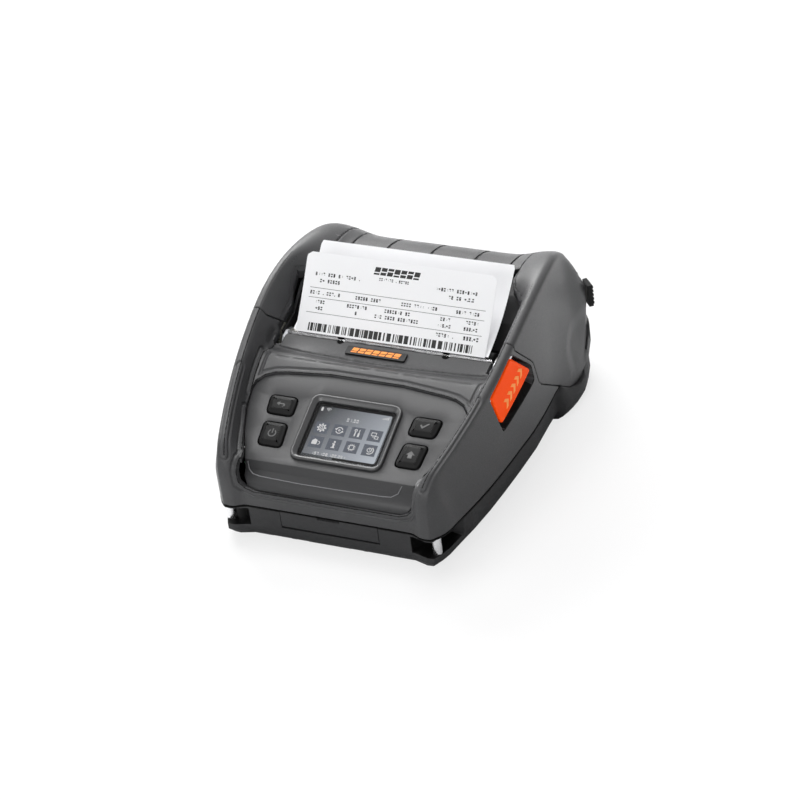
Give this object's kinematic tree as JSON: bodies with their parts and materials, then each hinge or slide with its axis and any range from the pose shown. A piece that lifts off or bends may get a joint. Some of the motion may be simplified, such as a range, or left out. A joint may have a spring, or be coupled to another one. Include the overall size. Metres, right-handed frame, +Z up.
{
  "type": "portable label printer",
  "caption": "Portable thermal label printer with sloped control panel, small display, side release lever and a hinged lid over the roll.",
  "frame": {"origin": "middle of the base plane, halfway across, below the front edge of the label opening", "axes": "+X to the right as the control panel faces the user, -Y towards the user, +Y to the rear hinge, +Z up from the base"},
  "size_m": [0.1558, 0.1937, 0.0964],
  "materials": {
    "housing_plastic": "dark charcoal, fine moulded texture",
    "cover_plastic": "charcoal grey, fine moulded texture",
    "panel_plastic": "charcoal grey, smoother than the covers",
    "rim_plastic": "grey, glossy",
    "lcd": "blue-grey display glass stack",
    "window_plastic": "clear cover over the display",
    "black_rubber": "black, matt",
    "black_plastic": "black, fine texture",
    "badge_plastic": "dark, bare, slightly glossy",
    "orange_plastic": "vivid orange, satin",
    "steel": "bright steel",
    "frame_steel": "zinc-plated sheet",
    "inner_plastic": "mid grey",
    "white_plastic": "off-white gear plastic",
    "brass": "turned brass",
    "ceramic": "pale ceramic and black glaze",
    "paper": "white label paper",
    "cardboard": "wound brown card",
    "board": "green circuit board",
    "shield": "plain shield"
  },
  "bodies": {
    "casing": {"lower_housing": "housing_plastic", "front_cover": "cover_plastic", "control_panel": "panel_plastic", "screen_rim": "rim_plastic", "screen_window": "window_plastic", "screen_module": "lcd", "screen_gasket": "black_rubber", "keypad_board": "board", "badge_plate": "badge_plastic", "lever_pin": "steel", "tear_bar": "steel", "mechanism_frame": "frame_steel", "feed_motor": "steel", "gear_bracket": "frame_steel", "main_board": "board", "wireless_module": "shield", "battery_contacts": "black_plastic", "usb_socket": "steel", "power_inlet": "black_plastic", "strap_pins": "steel", "hinge_pin": "steel", "hinge_springs": "steel", "rubber_feet": "black_rubber", "cover_screws": "steel", "label_sensor": "black_plastic", "head_springs": "steel"},
    "lid": {"lid_shell": "cover_plastic", "roof_flap": "cover_plastic", "lid_trim": "cover_plastic", "lid_inner_frame": "inner_plastic", "platen_bushes": "white_plastic", "label_strip": "paper", "liner_strip": "paper", "rear_bumpers": "black_rubber"},
    "platen": {"platen_shaft": "steel", "platen_rubber": "black_rubber", "platen_gear": "white_plastic"},
    "lever": {"release_lever": "orange_plastic"},
    "latch": {"latch_shaft": "steel"},
    "back_key": {"back_button": "black_rubber"},
    "power_key": {"power_button": "black_rubber"},
    "confirm_key": {"confirm_button": "black_rubber"},
    "menu_key": {"menu_button": "black_rubber"},
    "head": {"print_head": "ceramic", "head_bracket": "frame_steel"},
    "idler": {"reduction_gear": "white_plastic"},
    "pinion": {"motor_pinion": "brass"},
    "roll": {"label_roll": "paper", "roll_core": "cardboard"},
    "guide_left": {"left_guide": "black_plastic"},
    "guide_right": {"right_guide": "black_plastic"},
    "guide_gear": {"guide_pinion": "white_plastic"},
    "port_door": {"port_cover": "black_rubber"},
    "battery": {"battery_pack": "black_plastic"},
    "battery_catch": {"battery_latch": "black_plastic"}
  },
  "joints": [
    {"name": "lid_hinge", "type": "hinge", "parent": "casing", "child": "lid", "pos_m": [0, 0.09856, 0.0335], "axis": [-1, 0, 0], "range_deg": [0, 85]},
    {"name": "lever_hinge", "type": "hinge", "parent": "casing", "child": "lever", "pos_m": [0.0681, -0.031, 0.0646], "axis": [-0.0905, -0.9278, -0.3621], "range_deg": [0, 20], "stiffness_Nm_per_rad": 0.02},
    {"name": "latch_turn", "type": "hinge", "parent": "casing", "child": "latch", "pos_m": [0, -0.002, 0.037], "axis": [1, 0, 0], "range_deg": [0, 14]},
    {"name": "back_press", "type": "slide", "parent": "casing", "child": "back_key", "axis": [0, 0.342, -0.9397], "range_m": [0, 0.0009], "stiffness_N_per_m": 600},
    {"name": "power_press", "type": "slide", "parent": "casing", "child": "power_key", "axis": [0, 0.342, -0.9397], "range_m": [0, 0.0009], "stiffness_N_per_m": 600},
    {"name": "confirm_press", "type": "slide", "parent": "casing", "child": "confirm_key", "axis": [0, 0.342, -0.9397], "range_m": [0, 0.0009], "stiffness_N_per_m": 600},
    {"name": "menu_press", "type": "slide", "parent": "casing", "child": "menu_key", "axis": [0, 0.342, -0.9397], "range_m": [0, 0.0009], "stiffness_N_per_m": 600},
    {"name": "platen_spin", "type": "hinge", "parent": "lid", "child": "platen", "pos_m": [0, 0.009, 0.055], "axis": [1, 0, 0], "continuous": true},
    {"name": "idler_spin", "type": "hinge", "parent": "casing", "child": "idler", "pos_m": [0, -0.0039, 0.0457], "axis": [1, 0, 0], "continuous": true},
    {"name": "pinion_spin", "type": "hinge", "parent": "casing", "child": "pinion", "pos_m": [0, -0.01751, 0.041], "axis": [1, 0, 0], "continuous": true},
    {"name": "roll_spin", "type": "hinge", "parent": "casing", "child": "roll", "pos_m": [0, 0.048, 0.049], "axis": [1, 0, 0], "continuous": true},
    {"name": "left_guide_slide", "type": "slide", "parent": "casing", "child": "guide_left", "axis": [-1, 0, 0], "range_m": [0, 0.0035]},
    {"name": "right_guide_slide", "type": "slide", "parent": "casing", "child": "guide_right", "axis": [1, 0, 0], "range_m": [0, 0.0035]},
    {"name": "guide_pinion_turn", "type": "hinge", "parent": "casing", "child": "guide_gear", "pos_m": [0, 0.048, 0.0274], "axis": [0, 0, -1], "range_deg": [0, 33.5]},
    {"name": "port_hinge", "type": "hinge", "parent": "casing", "child": "port_door", "pos_m": [0, -0.0876, 0.0113], "axis": [1, 0, 0], "range_deg": [0, 88]},
    {"name": "battery_slide", "type": "slide", "parent": "casing", "child": "battery", "axis": [0, 1, 0], "range_m": [0, 0.09]},
    {"name": "battery_catch_slide", "type": "slide", "parent": "casing", "child": "battery_catch", "axis": [1, 0, 0], "range_m": [-0.003, 0.003]},
    {"name": "head_tilt", "type": "hinge", "parent": "casing", "child": "head", "pos_m": [0, -0.0028, 0.0425], "axis": [-1, 0, 0], "range_deg": [0, 1.2], "stiffness_Nm_per_rad": 2}
  ],
  "couplings": [
    {"joint": "latch_turn", "follows": "lever_hinge", "ratio": 0.7},
    {"joint": "idler_spin", "follows": "platen_spin", "ratio": -1.4091},
    {"joint": "pinion_spin", "follows": "platen_spin", "ratio": 4.2273},
    {"joint": "roll_spin", "follows": "platen_spin", "ratio": 0.3},
    {"joint": "right_guide_slide", "follows": "left_guide_slide", "ratio": 1},
    {"joint": "guide_pinion_turn", "follows": "left_guide_slide", "rad_per_m": 166.67}
  ]
}
